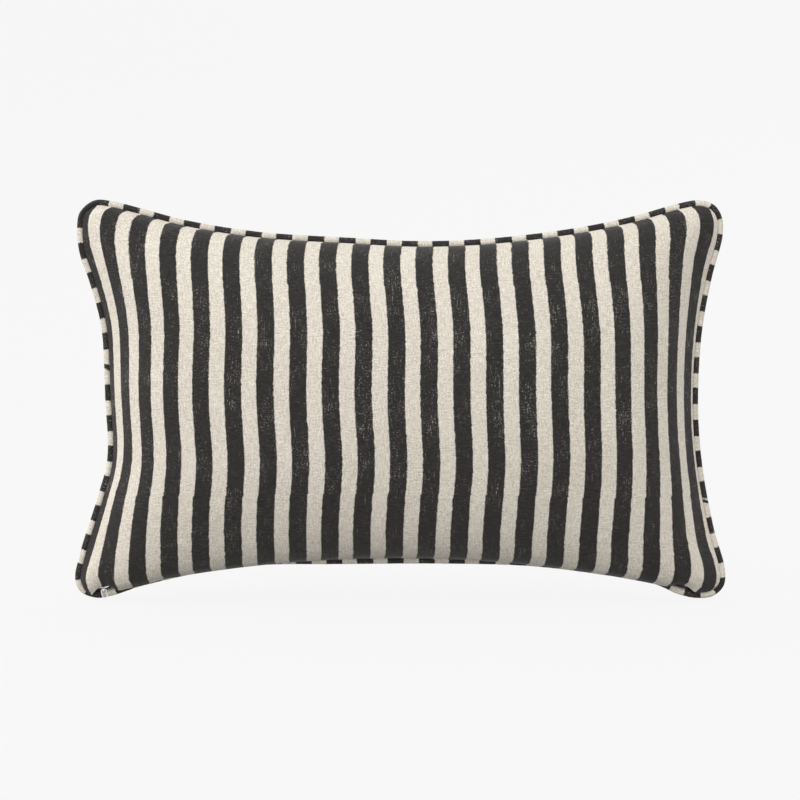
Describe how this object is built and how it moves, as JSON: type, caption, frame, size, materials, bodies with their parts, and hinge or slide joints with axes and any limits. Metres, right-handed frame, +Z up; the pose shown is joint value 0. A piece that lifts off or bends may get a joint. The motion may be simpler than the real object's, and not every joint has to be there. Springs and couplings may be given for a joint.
{
  "type": "throw pillow",
  "caption": "Rectangular striped lumbar throw pillow with self-fabric piping, a hidden zip in the bottom seam and a filled insert.",
  "frame": {"origin": "centre of the base of the bounding box, with the pillow standing upright on its two bottom corners", "axes": "+X along the width, to the right seen from the front; +Y through the thickness, from the front face to the back face; +Z up along the height"},
  "size_m": [0.5001, 0.134, 0.3064],
  "materials": {
    "printed_linen": "natural plain-weave linen, block-printed with soft black stripes",
    "cotton_cord": "twisted cotton",
    "sewing_thread": "spun polyester",
    "zip_tape": "woven polyester tape",
    "zip_coil": "moulded nylon coil",
    "zip_metal": "nickel-plated",
    "label_satin": "white satin ribbon",
    "ticking": "plain downproof cotton",
    "filling": "loose feather and fibre"
  },
  "bodies": {
    "cushion": {"front_panel": "printed_linen", "back_panel": "printed_linen", "piping_strip_top": "printed_linen", "piping_strip_right": "printed_linen", "piping_strip_bottom": "printed_linen", "piping_cord": "cotton_cord", "overlock_thread": "sewing_thread", "zip_tape_front": "zip_tape", "zip_tape_back": "zip_tape", "zip_coil_front": "zip_coil", "zip_coil_back": "zip_coil", "zip_top_stop_front": "zip_metal", "zip_top_stop_back": "zip_metal", "zip_bottom_stop": "zip_metal", "care_label": "label_satin", "insert_front": "ticking", "insert_back": "ticking", "insert_seam_thread": "sewing_thread", "insert_fill": "filling"},
    "slider": {"zip_slider": "zip_metal"},
    "puller": {"zip_puller": "zip_metal"}
  },
  "joints": [
    {"name": "zip_travel", "type": "hinge", "parent": "cushion", "child": "slider", "pos_m": [-0.00349, 0, -0.96654], "axis": [0, 1, 0], "range_deg": [0, 25.57]},
    {"name": "puller_swing", "type": "hinge", "parent": "slider", "child": "puller", "pos_m": [-0.22756, -0.0073, 0.00741], "axis": [0.9745, 0, 0.2242], "range_deg": [-100, 30]}
  ]
}
